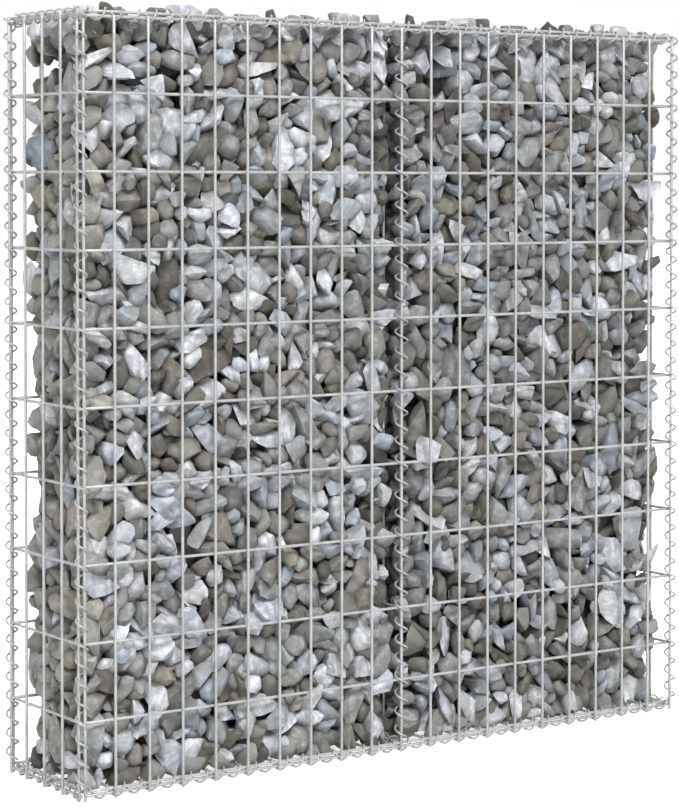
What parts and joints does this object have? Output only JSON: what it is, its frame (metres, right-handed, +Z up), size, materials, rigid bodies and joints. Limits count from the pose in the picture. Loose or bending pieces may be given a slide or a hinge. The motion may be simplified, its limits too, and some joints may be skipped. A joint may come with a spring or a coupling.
{
  "type": "stone-filled gabion basket, two compartments",
  "caption": "Tall thin gabion wall: welded wire mesh panels laced with spiral wire round two compartments of broken stone.",
  "frame": {"origin": "on the ground, under the middle of the basket", "axes": "+X along the wall, +Y to its back, +Z up"},
  "size_m": [1.0102, 0.2102, 1.0084],
  "materials": {
    "mesh_wire": "galvanised, dull",
    "lacing_wire": "galvanised, dull",
    "broken_stone": "rough, broken"
  },
  "bodies": {
    "root": {"back_left_lacing": "lacing_wire", "back_panel": "mesh_wire", "back_right_lacing": "lacing_wire", "base_back_lacing": "lacing_wire", "base_front_lacing": "lacing_wire", "base_left_lacing": "lacing_wire", "base_panel": "mesh_wire", "base_partition_lacing": "lacing_wire", "base_right_lacing": "lacing_wire", "front_left_lacing": "lacing_wire", "front_panel": "mesh_wire", "front_right_lacing": "lacing_wire", "left_end_panel": "mesh_wire", "left_lower_stone": "broken_stone", "left_middle_stone": "broken_stone", "left_upper_stone": "broken_stone", "lid_back_lacing": "lacing_wire", "lid_front_lacing": "lacing_wire", "lid_left_lacing": "lacing_wire", "lid_panel": "mesh_wire", "lid_partition_lacing": "lacing_wire", "lid_right_lacing": "lacing_wire", "partition_back_lacing": "lacing_wire", "partition_front_lacing": "lacing_wire", "partition_panel": "mesh_wire", "right_end_panel": "mesh_wire", "right_lower_stone": "broken_stone", "right_middle_stone": "broken_stone", "right_upper_stone": "broken_stone"}
  },
  "joints": []
}
